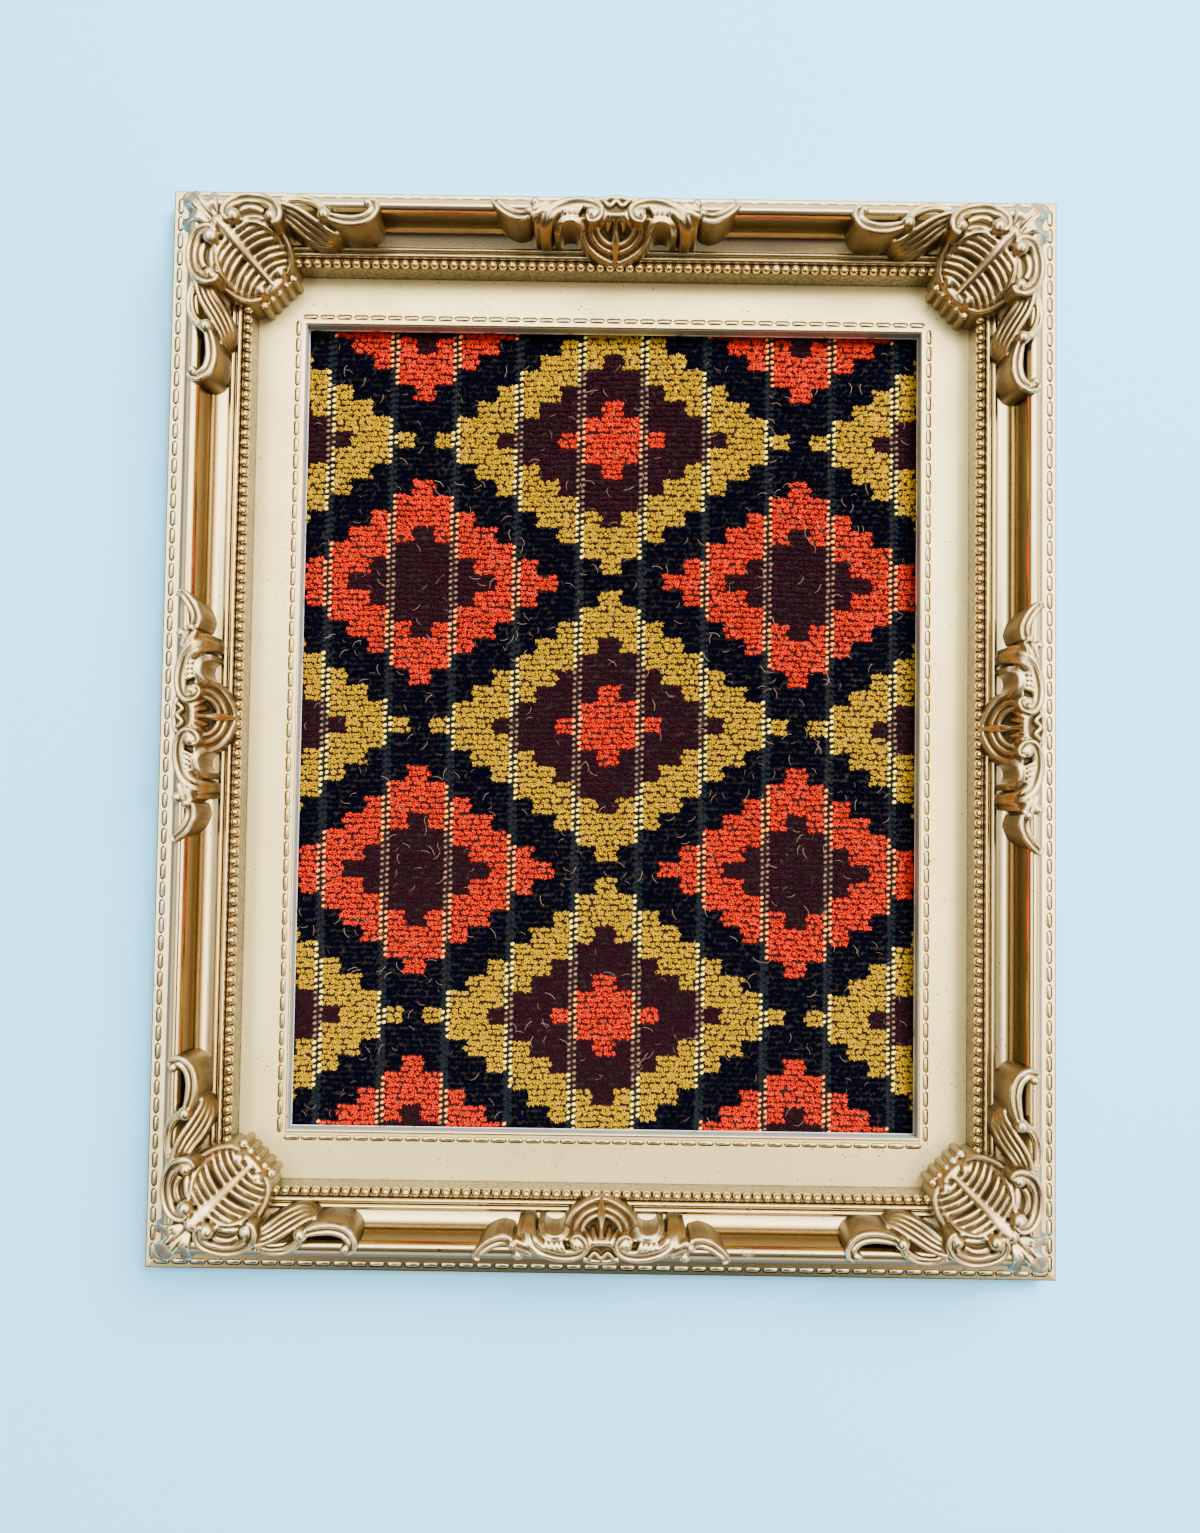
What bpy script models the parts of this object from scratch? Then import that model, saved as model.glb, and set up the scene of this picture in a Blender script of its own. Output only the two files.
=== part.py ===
# Framed moquette fabric: a cut-pile upholstery cloth in an ornate moulded picture frame, lying on its back.
# Metres, +Z up. X is the frame's width and +Y its top edge; the back plane is Z = 0.

import math

import bmesh
import bpy
from mathutils import Matrix, Vector

MM = 0.001

# Driving dimensions of the frame and the cloth
FRAME_WIDTH = 275 * MM
FRAME_HEIGHT = 331 * MM
RAIL_WIDTH = 42.9 * MM
RIM_HEIGHT = 8.0 * MM
REBATE_WIDTH = 6.0 * MM
LEDGE_HEIGHT = 6.0 * MM
CLOTH_THICKNESS = 2.8 * MM
CLOTH_WAVE = 0.22 * MM
BOARD_THICKNESS = 2.0 * MM
SEAT_GAP = 0.3 * MM

# Colours and surface values
GOLD = (0.62, 0.50, 0.30, 1)
OLD_GOLD = (0.66, 0.54, 0.34, 1)
MUSTARD = (0.50, 0.33, 0.03, 1)
BOARD_BROWN = (0.33, 0.22, 0.13, 1)


def clear_scene():
    for item in list(bpy.data.objects):
        bpy.data.objects.remove(item, do_unlink=True)


def material(name, colour, roughness, metallic):
    made = bpy.data.materials.new(name)
    made.use_nodes = True
    shader = made.node_tree.nodes["Principled BSDF"]
    shader.inputs["Base Color"].default_value = colour
    shader.inputs["Roughness"].default_value = roughness
    shader.inputs["Metallic"].default_value = metallic
    made.diffuse_color = colour
    return made


def place(name, mesh, surface):
    item = bpy.data.objects.new(name, mesh)
    bpy.context.scene.collection.objects.link(item)
    mesh.materials.clear()
    mesh.materials.append(surface)
    return item


def finish_mesh(name, shape):
    bmesh.ops.recalc_face_normals(shape, faces=shape.faces[:])
    mesh = bpy.data.meshes.new(name)
    shape.to_mesh(mesh)
    shape.free()
    return mesh


# Section of the rail


def rail_section(swell=0.0):
    """Outline of the rail in millimetres: distance in from the outer edge, height above the back."""
    rim = RIM_HEIGHT / MM
    top = [
        (0.0, rim - 0.6), (0.5, rim), (4.9, rim + 0.4), (5.9, rim + 2.4), (9.2, rim + 12.0), (11.2, rim + 17.6),
        (12.3, rim + 20.2), (13.6, rim + 21.9), (15.2, rim + 22.5), (16.5, rim + 22.0),
        (17.1, rim + 20.8), (17.2, rim + 15.0), (17.8, rim + 12.6), (19.2, rim + 11.0), (21.9, rim + 10.1),
        (22.3, rim + 10.7), (22.9, rim + 11.0), (23.5, rim + 10.7), (23.8, rim + 10.2), (24.2, rim + 10.8),
        (24.8, rim + 11.1), (25.4, rim + 10.7), (25.7, rim + 9.6), (27.6, rim + 9.4), (27.9, rim + 1.8),
        (41.9, rim + 2.6), (42.6, rim + 2.4), (42.9, rim + 1.8),
    ]
    if swell:
        top = swollen(top, swell / MM)
    ledge = LEDGE_HEIGHT / MM
    rebate = (RAIL_WIDTH - REBATE_WIDTH) / MM
    return [(top[0][0], 0.0)] + top + [(top[-1][0], ledge), (rebate, ledge), (rebate, 0.0)]


def swollen(line, gap):
    """Moves each corner of the top outline outward by the gap, along the mean normal of its two sides."""
    moved = []
    for index, point in enumerate(line):
        before = line[max(index - 1, 0)]
        after = line[min(index + 1, len(line) - 1)]
        first = side_normal(before, point) if index else Vector((-1, 0))
        second = side_normal(point, after) if index < len(line) - 1 else Vector((1, 0))
        mean = (first + second).normalized()
        reach = gap / max(mean.dot(first), 0.55)
        moved.append((point[0] + mean.x * reach, point[1] + mean.y * reach))
    return moved


def side_normal(start, end):
    along = Vector((end[0] - start[0], end[1] - start[1]))
    return Vector((-along.y, along.x)).normalized()


def ring_mesh(name, section):
    """Runs the section round the frame with mitred corners."""
    shape = bmesh.new()
    loops = []
    for across, up in section:
        half_x = FRAME_WIDTH / 2 - across * MM
        half_y = FRAME_HEIGHT / 2 - across * MM
        corners = ((-half_x, -half_y), (half_x, -half_y), (half_x, half_y), (-half_x, half_y))
        loops.append([shape.verts.new((x, y, up * MM)) for x, y in corners])
    for index, loop in enumerate(loops):
        following = loops[(index + 1) % len(loops)]
        for side in range(4):
            ahead = (side + 1) % 4
            shape.faces.new((loop[side], loop[ahead], following[ahead], following[side]))
    return finish_mesh(name, shape)


# Shapes that the ornaments are built from: each is a closed bar, ball or leaf with upright sides


def smooth_path(points, steps):
    """Catmull-Rom curve through the points."""
    ends = [points[0]] + list(points) + [points[-1]]
    curve = []
    for index in range(1, len(ends) - 2):
        a, b, c, d = (Vector(ends[index + shift]) for shift in (-1, 0, 1, 2))
        for step in range(steps):
            t = step / steps
            curve.append(0.5 * ((2 * b) + (c - a) * t + (2 * a - 5 * b + 4 * c - d) * t * t
                                + (3 * b - a - 3 * c + d) * t ** 3))
    curve.append(Vector(ends[-2]))
    return curve


def bar(shape, points, start, end, foot, middle=None, steps=4):
    """A round-topped bar along a path in millimetres, its sides dropping straight to the foot height."""
    path = smooth_path(points, steps)
    loops = []
    for index, point in enumerate(path):
        share = index / (len(path) - 1)
        radius = start + (end - start) * share
        if middle:
            radius += (middle - (start + end) / 2) * math.sin(math.pi * share)
        before = path[max(index - 1, 0)]
        after = path[min(index + 1, len(path) - 1)]
        along = Vector((after.x - before.x, after.y - before.y, 0)).normalized()
        side = Vector((-along.y, along.x, 0))
        ring = [point + side * radius * math.cos(turn) + Vector((0, 0, radius * (math.sin(turn) - 1)))
                for turn in (math.pi * step / 6 for step in range(7))]
        ring.append(Vector((ring[-1].x, ring[-1].y, foot)))
        ring.append(Vector((ring[0].x, ring[0].y, foot)))
        loops.append([shape.verts.new(spot * MM) for spot in ring])
    for first, second in zip(loops, loops[1:]):
        for index in range(len(first)):
            ahead = (index + 1) % len(first)
            shape.faces.new((first[index], first[ahead], second[ahead], second[index]))
    shape.faces.new(list(reversed(loops[0])))
    shape.faces.new(loops[-1])


def ball(shape, centre, radius, foot):
    """A round-topped post: a ball on an upright cylinder."""
    spot = Vector(centre) * MM
    bmesh.ops.create_icosphere(shape, subdivisions=2, radius=radius * MM, matrix=Matrix.Translation(spot))
    depth = centre[2] - foot
    middle = Vector((centre[0], centre[1], foot + depth / 2)) * MM
    bmesh.ops.create_cone(shape, cap_ends=True, segments=12, radius1=radius * 0.98 * MM,
                          radius2=radius * 0.98 * MM, depth=depth * MM, matrix=Matrix.Translation(middle))


def plate(shape, outline, foot):
    """A solid under an outline of (along, across, height) points, fanned from its middle."""
    middle = sum((Vector(point) for point in outline), Vector()) / len(outline)
    rim = [shape.verts.new(Vector(point) * MM) for point in outline]
    base = [shape.verts.new(Vector((point[0], point[1], foot)) * MM) for point in outline]
    peak = shape.verts.new(middle * MM)
    for index in range(len(rim)):
        ahead = (index + 1) % len(rim)
        shape.faces.new((rim[index], rim[ahead], peak))
        shape.faces.new((rim[ahead], rim[index], base[index], base[ahead]))
    shape.faces.new(list(reversed(base)))


def swapped(points):
    """The mirror image across the corner's diagonal."""
    return [(point[1], point[0], point[2]) for point in points]


def flipped(points):
    """The mirror image across the rail's middle."""
    return [(-point[0], point[1], point[2]) for point in points]


# Corner ornament. Points are millimetres: along one rail, along the other, height above the rim plane

CORNER_FOOT = -4.0


def corner_shape():
    shape = bmesh.new()
    foot = CORNER_FOOT
    bar(shape, [(21.4, 21.4, 25.0), (26.0, 26.0, 22.6), (30.5, 30.5, 17.4), (35.2, 35.2, 12.4)], 2.3, 1.1, foot)
    bar(shape, [(20.6, 20.6, 23.0), (15.5, 15.5, 24.2), (11.8, 11.8, 19.8), (8.8, 8.8, 12.0)], 1.8, 2.4, foot, 3.2)
    bar(shape, [(30.8, 38.4, 11.8), (35.0, 35.0, 12.4), (38.4, 30.8, 11.8)], 1.9, 1.9, foot)
    for turn in (lambda points: points, swapped):
        lobe = turn([(20.6, 18.0, 23.4), (18.8, 13.0, 21.6), (16.7, 8.8, 12.8)])
        bar(shape, lobe, 1.8, 1.9, foot, 2.5)
        floor = [(21.0, 21.0, 23.4), (28.0, 20.4, 22.8), (33.4, 21.0, 22.0), (37.4, 23.4, 19.2),
                 (39.2, 28.0, 13.8), (35.4, 35.4, 10.8)]
        plate(shape, [turn([point])[0] for point in floor], foot)
        band = turn([(29.0, 20.8, 23.6), (33.4, 20.6, 23.2), (37.4, 22.0, 20.8), (39.4, 25.2, 17.0), (39.6, 28.4, 14.0),
                     (38.4, 31.2, 12.2)])
        bar(shape, band, 1.5, 1.5, foot)
        scroll = turn([(25.4, 21.2, 25.2), (23.9, 19.2, 25.2), (24.8, 16.4, 24.6), (27.5, 14.7, 23.8),
                       (31.0, 14.1, 23.6), (34.6, 14.7, 24.0), (37.5, 16.4, 24.8), (39.0, 18.8, 25.2),
                       (37.9, 21.6, 25.0)])
        bar(shape, scroll, 1.5, 1.3, foot, 1.8)
        hollow = turn([(25.4, 17.0, 21.6), (30.0, 14.8, 21.4), (37.4, 16.6, 21.8), (38.0, 21.4, 22.2),
                       (26.8, 21.6, 22.2)])
        plate(shape, hollow, foot)
        ball(shape, turn([(26.2, 20.0, 23.2)])[0], 2.4, foot)
        fan = turn([(39.4, 15.6, 22.4), (44.4, 14.6, 22.0), (50.2, 16.4, 22.0), (53.2, 19.4, 22.2), (55.9, 22.8, 18.4),
                    (53.0, 23.8, 14.8), (46.4, 22.4, 15.6), (40.4, 20.0, 20.4)])
        plate(shape, fan, foot)
        bar(shape, turn([(39.8, 15.2, 24.0), (45.6, 14.2, 23.8), (51.6, 17.0, 24.6)]), 1.2, 1.2, foot)
        for share in (0.1, 0.5, 0.9):
            rib = turn([(40.0, 15.9 + 3.1 * share, 24.2 - 1.6 * share), (46.8 - 0.4 * share, 18.6 + 4.0 * share,
                        23.6 - 6.8 * share), (55.6 - 2.2 * share, 22.4 + 1.4 * share, 19.6 - 4.2 * share)])
            bar(shape, rib, 0.9, 0.9, foot)
        ball(shape, turn([(52.6, 19.2, 23.4)])[0], 2.0, foot)
        tail = turn([(54.0, 19.8, 24.4), (57.8, 20.7, 24.4), (61.4, 20.9, 24.4), (64.8, 20.0, 24.4),
                     (66.8, 18.0, 24.4), (67.2, 15.9, 24.0), (66.2, 14.4, 23.4), (64.9, 14.9, 23.2)])
        bar(shape, tail, 1.8, 1.2, foot)
    return shape


# Centre ornament. Points are millimetres: along the rail from its middle, in from the edge, height above the rim

CENTRE_FOOT = 3.0


def centre_shape():
    shape = bmesh.new()
    foot = CENTRE_FOOT
    cup = [(-5.0, 13.6, 22.8), (5.0, 13.6, 22.8), (4.4, 18.2, 23.6), (0.0, 18.8, 23.2), (-4.4, 18.2, 23.6)]
    plate(shape, cup, foot)
    shell = [(-9.0, 18.4, 22.8), (0.0, 18.0, 22.8), (9.0, 18.4, 22.8), (9.8, 21.2, 19.6), (8.4, 23.8, 15.4),
             (4.4, 25.9, 13.0), (0.0, 27.2, 11.6), (-4.4, 25.9, 13.0), (-8.4, 23.8, 15.4), (-9.8, 21.2, 19.6)]
    plate(shape, shell, foot)
    bar(shape, [(0.0, 19.0, 23.6), (0.0, 22.6, 20.0), (0.0, 26.8, 13.6)], 0.9, 0.8, foot)
    for turn in (lambda points: points, flipped):
        outer = turn([(-9.4, 18.8, 23.6), (-9.4, 21.6, 20.4), (-6.6, 24.4, 16.4), (-0.4, 26.9, 13.0)])
        bar(shape, outer, 1.2, 0.9, foot)
        inner = turn([(-6.6, 20.4, 22.4), (-5.0, 22.8, 19.4), (-1.4, 24.2, 17.6)])
        bar(shape, inner, 0.9, 0.8, foot)
        scroll = turn([(-7.4, 19.6, 25.0), (-5.2, 18.4, 25.2), (-5.4, 15.8, 25.2), (-8.0, 14.7, 24.6),
                       (-13.0, 14.8, 24.2), (-17.6, 16.4, 24.6), (-20.2, 19.2, 24.0), (-20.5, 22.4, 18.6)])
        bar(shape, scroll, 1.2, 1.6, foot, 1.9)
        ball(shape, turn([(-7.2, 17.6, 23.6)])[0], 2.0, foot)
        hollow = turn([(-7.6, 15.4, 21.8), (-16.6, 15.6, 21.8), (-19.4, 20.0, 20.8), (-9.4, 20.2, 21.6)])
        plate(shape, hollow, foot)
        arch = turn([(-17.2, 22.2, 19.8), (-16.4, 20.0, 22.8), (-13.6, 19.2, 23.6), (-10.8, 19.7, 23.4),
                     (-9.4, 21.6, 21.2)])
        bar(shape, arch, 1.1, 1.1, foot)
        ball(shape, turn([(-23.6, 14.8, 22.8)])[0], 1.5, foot)
        bar(shape, turn([(-19.4, 16.2, 24.4), (-22.2, 17.0, 24.6), (-25.0, 18.4, 24.4)]), 1.7, 1.3, foot)
        tail = turn([(-25.2, 18.4, 24.2), (-28.2, 18.8, 24.2), (-31.2, 17.8, 24.4), (-34.2, 15.9, 24.4),
                     (-35.4, 14.4, 23.8), (-34.2, 14.2, 23.4)])
        bar(shape, tail, 1.6, 1.2, foot)
    return shape


# Melts the shapes of one ornament into a single casting and cuts its underside to sit on the rail


def casting_mesh(name, shape, corner, cutter, grain, faces):
    rough = place(name + "_rough", finish_mesh(name + "_rough", shape), cutter.data.materials[0])
    rough.location = corner
    melt = rough.modifiers.new("Melt", 'REMESH')
    melt.mode = 'VOXEL'
    melt.voxel_size = grain
    melted = baked(name + "_melted", rough)
    rough.modifiers.remove(melt)
    thin = rough.modifiers.new("Thin", 'DECIMATE')
    thin.ratio = faces / max(len(melted.polygons) * 2, 1)
    rough.data = melted
    seat = rough.modifiers.new("Seat", 'BOOLEAN')
    seat.operation = 'DIFFERENCE'
    seat.solver = 'EXACT'
    seat.object = cutter
    cast = baked(name, rough)
    bpy.data.objects.remove(rough, do_unlink=True)
    return largest_piece(cast)


def baked(name, item):
    """The object's mesh with its modifiers applied."""
    bpy.context.view_layer.update()
    seen = item.evaluated_get(bpy.context.evaluated_depsgraph_get())
    mesh = bpy.data.meshes.new_from_object(seen)
    mesh.name = name
    return mesh


def largest_piece(mesh):
    """Keeps the casting itself and drops crumbs that the seat cut leaves."""
    shape = bmesh.new()
    shape.from_mesh(mesh)
    left = set(shape.verts)
    pieces = []
    while left:
        stack = [left.pop()]
        piece = list(stack)
        while stack:
            for edge in stack.pop().link_edges:
                for vert in edge.verts:
                    if vert in left:
                        left.remove(vert)
                        stack.append(vert)
                        piece.append(vert)
        pieces.append(piece)
    pieces.sort(key=len)
    crumbs = [vert for piece in pieces[:-1] for vert in piece]
    bmesh.ops.delete(shape, geom=crumbs, context='VERTS')
    bmesh.ops.remove_doubles(shape, verts=shape.verts[:], dist=0.02 * MM)
    bmesh.ops.triangulate(shape, faces=shape.faces[:])
    shape.to_mesh(mesh)
    shape.free()
    return mesh


def add_moulding(surface):
    place("frame_moulding", ring_mesh("frame_moulding", rail_section()), surface)


def add_castings(surface):
    cutter = place("seat_cutter", ring_mesh("seat_cutter", rail_section(SEAT_GAP)), surface)
    cutter.hide_render = True
    cutter.display_type = 'WIRE'
    half_x, half_y = FRAME_WIDTH / 2, FRAME_HEIGHT / 2
    corner = casting_mesh("corner_ornament", corner_shape(), (-half_x, -half_y, RIM_HEIGHT), cutter, 0.55 * MM, 1500)
    centre = casting_mesh("centre_ornament", centre_shape(), (0, -half_y, RIM_HEIGHT), cutter, 0.5 * MM, 900)
    bpy.data.objects.remove(cutter, do_unlink=True)
    corners = ((-half_x, -half_y), (half_x, -half_y), (half_x, half_y), (-half_x, half_y))
    middles = ((0, -half_y), (half_x, 0), (0, half_y), (-half_x, 0))
    for number in range(4):
        for name, mesh, spots in (("corner_ornament", corner, corners), ("centre_ornament", centre, middles)):
            item = place(f"{name}_{number + 1}", mesh, surface)
            item.location = (*spots[number], RIM_HEIGHT)
            item.rotation_euler = (0, 0, number * math.pi / 2)


def add_cloth(surface):
    """The moquette: a flat cut sheet, its pile face a little uneven inside the sight opening."""
    columns, rows = 20, 26
    width = FRAME_WIDTH - 2 * (RAIL_WIDTH - REBATE_WIDTH + SEAT_GAP)
    height = FRAME_HEIGHT - 2 * (RAIL_WIDTH - REBATE_WIDTH + SEAT_GAP)
    top = LEDGE_HEIGHT - SEAT_GAP
    shape = bmesh.new()
    bmesh.ops.create_grid(shape, x_segments=columns, y_segments=rows, size=0.5)
    face = {}
    for vert in shape.verts:
        x, y = vert.co.x * width, vert.co.y * height
        inside = min(FRAME_WIDTH / 2 - RAIL_WIDTH - abs(x), FRAME_HEIGHT / 2 - RAIL_WIDTH - abs(y))
        ease = min(max(inside / (15 * MM), 0.0), 1.0)
        wave = math.sin(x * 41 + 0.6) * math.cos(y * 33 - 0.4)
        vert.co = (x, y, top + ease * (wave - 0.4) * CLOTH_WAVE)
        face[vert] = vert.co.copy()
    under = bmesh.ops.extrude_face_region(shape, geom=shape.faces[:])
    for item in under["geom"]:
        if isinstance(item, bmesh.types.BMVert):
            item.co.z = top - CLOTH_THICKNESS
    place("moquette_cloth", finish_mesh("moquette_cloth", shape), surface)


def add_board(surface):
    width = FRAME_WIDTH - 2 * (RAIL_WIDTH - REBATE_WIDTH + SEAT_GAP)
    height = FRAME_HEIGHT - 2 * (RAIL_WIDTH - REBATE_WIDTH + SEAT_GAP)
    top = LEDGE_HEIGHT - SEAT_GAP - CLOTH_THICKNESS - SEAT_GAP
    shape = bmesh.new()
    bmesh.ops.create_cube(shape, size=1)
    for vert in shape.verts:
        vert.co = (vert.co.x * width, vert.co.y * height, top + (vert.co.z - 0.5) * BOARD_THICKNESS)
    place("backing_board", finish_mesh("backing_board", shape), surface)


clear_scene()
add_moulding(material("frame_gold", GOLD, 0.4, 0.7))
add_castings(material("ornament_gold", OLD_GOLD, 0.4, 0.7))
add_cloth(material("moquette", MUSTARD, 0.95, 0.0))
add_board(material("board", BOARD_BROWN, 0.85, 0.0))
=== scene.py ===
import math

import bmesh
import bpy
import numpy as np
from mathutils import Matrix, Vector


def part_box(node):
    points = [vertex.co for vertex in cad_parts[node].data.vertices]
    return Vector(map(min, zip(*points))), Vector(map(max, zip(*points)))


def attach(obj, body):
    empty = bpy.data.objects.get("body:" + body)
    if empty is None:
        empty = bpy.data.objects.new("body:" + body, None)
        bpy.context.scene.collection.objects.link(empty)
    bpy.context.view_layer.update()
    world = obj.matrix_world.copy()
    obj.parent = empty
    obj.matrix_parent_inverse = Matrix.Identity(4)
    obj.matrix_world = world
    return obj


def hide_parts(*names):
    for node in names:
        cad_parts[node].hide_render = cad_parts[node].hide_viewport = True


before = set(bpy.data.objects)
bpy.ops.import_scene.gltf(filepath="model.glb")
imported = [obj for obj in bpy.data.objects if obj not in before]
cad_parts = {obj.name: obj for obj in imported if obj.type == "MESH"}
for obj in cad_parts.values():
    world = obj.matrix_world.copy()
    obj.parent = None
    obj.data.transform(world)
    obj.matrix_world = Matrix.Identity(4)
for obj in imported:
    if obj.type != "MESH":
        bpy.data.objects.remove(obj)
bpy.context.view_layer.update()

# Moulded rails
# One length of moulding, mitred at the corners: a flat outer ledge, a steep back, a rounded crest, a deep
# cove, two fine reeds, a bed for the beads, a step down to a flat cream panel, and the lip over the cloth.
# It is moulded plastic with antique gold paint, rubbed pale where it is handled and dark in its grooves.
# Shade is painted into it too: in the cove, down the back, at the outer edge, under the beads, on the step
# and the lip.

MM = 0.001
low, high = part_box("frame_moulding")
half_width, half_height = high.x, high.y
rim = low.z + 8.0 * MM

# The section, in runs between sharp edges. Points are millimetres: in from the edge, and up from the rim.
rail_runs = [
    [(0.0, -8.0), (0.0, -0.6)],
    [(0.0, -0.6), (0.1, -0.2), (0.5, 0.0)],
    [(0.5, 0.0), (4.9, 0.4)],
    [(4.9, 0.4), (5.5, 1.0), (5.9, 2.4), (9.2, 12.0), (11.2, 17.6), (12.3, 20.2), (13.6, 21.9), (15.2, 22.5),
     (16.4, 22.0), (17.0, 20.8)],
    [(17.0, 20.8), (17.1, 17.6), (17.3, 14.6), (17.9, 12.5), (19.2, 11.0), (21.9, 10.1)],
    [(21.9, 10.1), (22.2, 10.7), (22.9, 11.1), (23.6, 10.7), (23.8, 10.1)],
    [(23.8, 10.1), (24.1, 10.8), (24.8, 11.2), (25.5, 10.7), (25.7, 9.5)],
    [(25.7, 9.5), (26.7, 9.2), (27.6, 9.4)],
    [(27.6, 9.4), (27.8, 9.1), (27.9, 8.4), (27.9, 1.8)],
    [(27.9, 1.8), (41.8, 2.6)],
    [(41.8, 2.6), (42.4, 2.6), (42.8, 2.3), (42.9, 1.8)],
    [(42.9, 1.8), (42.9, -2.0)],
    [(42.9, -2.0), (36.9, -2.0)],
    [(36.9, -2.0), (36.9, -8.0)],
]


def smooth_path(points, steps):
    """A Catmull-Rom curve through the points."""
    ends = [points[0]] + list(points) + [points[-1]]
    curve = []
    for index in range(1, len(ends) - 2):
        a, b, c, d = (Vector(ends[index + shift]) for shift in (-1, 0, 1, 2))
        for step in range(steps):
            t = step / steps
            curve.append(0.5 * ((2 * b) + (c - a) * t + (2 * a - 5 * b + 4 * c - d) * t * t
                                + (3 * b - a - 3 * c + d) * t ** 3))
    curve.append(Vector(ends[-2]))
    return curve


def show(name, mesh, finish):
    """Puts a mesh in the scene as a piece with one finish."""
    piece = bpy.data.objects.new(name, mesh)
    bpy.context.scene.collection.objects.link(piece)
    mesh.materials.clear()
    mesh.materials.append(finish)
    return piece


def to_mesh(name, shape, smooth=True):
    """Turns a shape into a mesh, which uses the shape up."""
    for face in shape.faces:
        face.smooth = smooth
    mesh = bpy.data.meshes.new(name)
    shape.to_mesh(mesh)
    shape.free()
    return mesh


def skin(shape, loops):
    """Faces between each loop of points and the next."""
    for first, second in zip(loops, loops[1:]):
        for index in range(len(first)):
            ahead = (index + 1) % len(first)
            shape.faces.new((first[index], first[ahead], second[ahead], second[index]))


def rail_mesh():
    """The section run round the frame. Each point keeps its across and up as numbers for the paint."""
    section = []
    arrises = []
    for run in rail_runs:
        arrises.append(len(section))
        section += smooth_path(run, 1 if len(run) == 2 else 5)[:-1]
    shape = bmesh.new()
    across_layer = shape.verts.layers.float.new("across")
    up_layer = shape.verts.layers.float.new("up")
    loops = []
    for across, up in section:
        x, y = half_width - across * MM, half_height - across * MM
        loop = [shape.verts.new((a, b, rim + up * MM)) for a, b in ((-x, -y), (x, -y), (x, y), (-x, y))]
        for vert in loop:
            vert[across_layer] = across
            vert[up_layer] = up
        loops.append(loop)
    skin(shape, loops + loops[:1])
    for index, loop in enumerate(loops):
        for side in range(4):
            shape.edges.get((loop[side], loops[(index + 1) % len(loops)][side])).smooth = False
            if index in arrises:
                shape.edges.get((loop[side], loop[(side + 1) % 4])).smooth = False
    bmesh.ops.recalc_face_normals(shape, faces=shape.faces[:])
    return to_mesh("rails", shape)


class Value:
    """A number on a node's socket. Sums and products of Values add Math nodes."""

    def __init__(self, maker, socket):
        self.maker = maker
        self.socket = socket

    def math(self, operation, first, second):
        return self.maker.node('ShaderNodeMath', {"operation": operation}, {0: first, 1: second})

    def __add__(self, other):
        return self.math('ADD', self, other)

    __radd__ = __add__

    def __sub__(self, other):
        return self.math('SUBTRACT', self, other)

    def __rsub__(self, other):
        return self.math('SUBTRACT', other, self)

    def __mul__(self, other):
        return self.math('MULTIPLY', self, other)

    __rmul__ = __mul__

    def larger(self, other):
        return self.math('MAXIMUM', self, other)


class NodeMaker:
    """Adds nodes to one tree, and links them."""

    def __init__(self, tree):
        self.tree = tree

    def node(self, kind, settings=None, sockets=None, out=0):
        """Stops are the places and colours of a colour ramp, where one number alone is a grey."""
        made = self.tree.nodes.new(kind)
        for key, value in (settings or {}).items():
            if key == "stops":
                ramp = made.color_ramp.elements
                while len(ramp) < len(value):
                    ramp.new(0.5)
                for stop, (place, colour) in zip(ramp, value):
                    stop.position = place
                    stop.color = (colour if isinstance(colour, tuple) else (colour,) * 3) + (1,)
            else:
                setattr(made, key, value)
        for key, value in (sockets or {}).items():
            self.feed(made.inputs[key], value)
        return Value(self, made.outputs[out])

    def feed(self, socket, value):
        if isinstance(value, Value):
            self.tree.links.new(value.socket, socket)
        else:
            socket.default_value = value


class Finish(NodeMaker):
    """A material with one Principled shader, and the nodes that drive it."""

    def __init__(self, name):
        self.material = bpy.data.materials.new(name)
        self.material.use_nodes = True
        super().__init__(self.material.node_tree)
        self.shader = self.tree.nodes["Principled BSDF"]

    def surface(self, **values):
        """Sets or links the shader's own sockets, named with underscores."""
        for key, value in values.items():
            self.feed(self.shader.inputs[key.replace("_", " ")], value)
        return self.material

    def where(self):
        return self.node('ShaderNodeTexCoord', out="Object")

    def attribute(self, name):
        return self.node('ShaderNodeAttribute', {"attribute_name": name}, out="Fac")

    def noise(self, scale, detail=2.0, roughness=0.5):
        return self.node('ShaderNodeTexNoise', None, {"Vector": self.where(), "Scale": scale,
                                                      "Detail": detail, "Roughness": roughness})

    def ease(self, value, start, end):
        """0 below start, 1 above end, smooth between."""
        return self.node('ShaderNodeMapRange', {"interpolation_type": 'SMOOTHSTEP'},
                         {0: value, 1: start, 2: end})

    def band(self, value, start, full, fading, end):
        """1 from full to fading, 0 before start and after end."""
        return self.ease(value, start, full) * (1 - self.ease(value, fading, end))

    def mix(self, share, first, second):
        return self.node('ShaderNodeMix', {"data_type": 'RGBA', "clamp_factor": True},
                         {0: share, 6: first, 7: second}, out=2)

    def grey(self, colour):
        return self.node('ShaderNodeRGBToBW', None, {0: colour})

    def bump(self, height, depth, strength):
        return self.node('ShaderNodeBump', None, {"Strength": strength, "Distance": depth, "Height": height})


champagne = (0.87, 0.70, 0.37, 1)
dull_gold = (0.58, 0.44, 0.22, 1)
cream = (1.0, 0.84, 0.40, 1)
varnish_and_shade_brown = (0.060, 0.036, 0.014, 1)
rubbed_silver = (0.88, 0.88, 0.86, 1)
step_shade_grey = (0.10, 0.095, 0.078, 1)
# The lip's inner wall is gold, painted instead in grey-teal: a painted shade and a painted sky reflection
liner_shade_dark, liner_reflection_pale = (0.10, 0.13, 0.14, 1), (0.32, 0.38, 0.40, 1)

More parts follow.
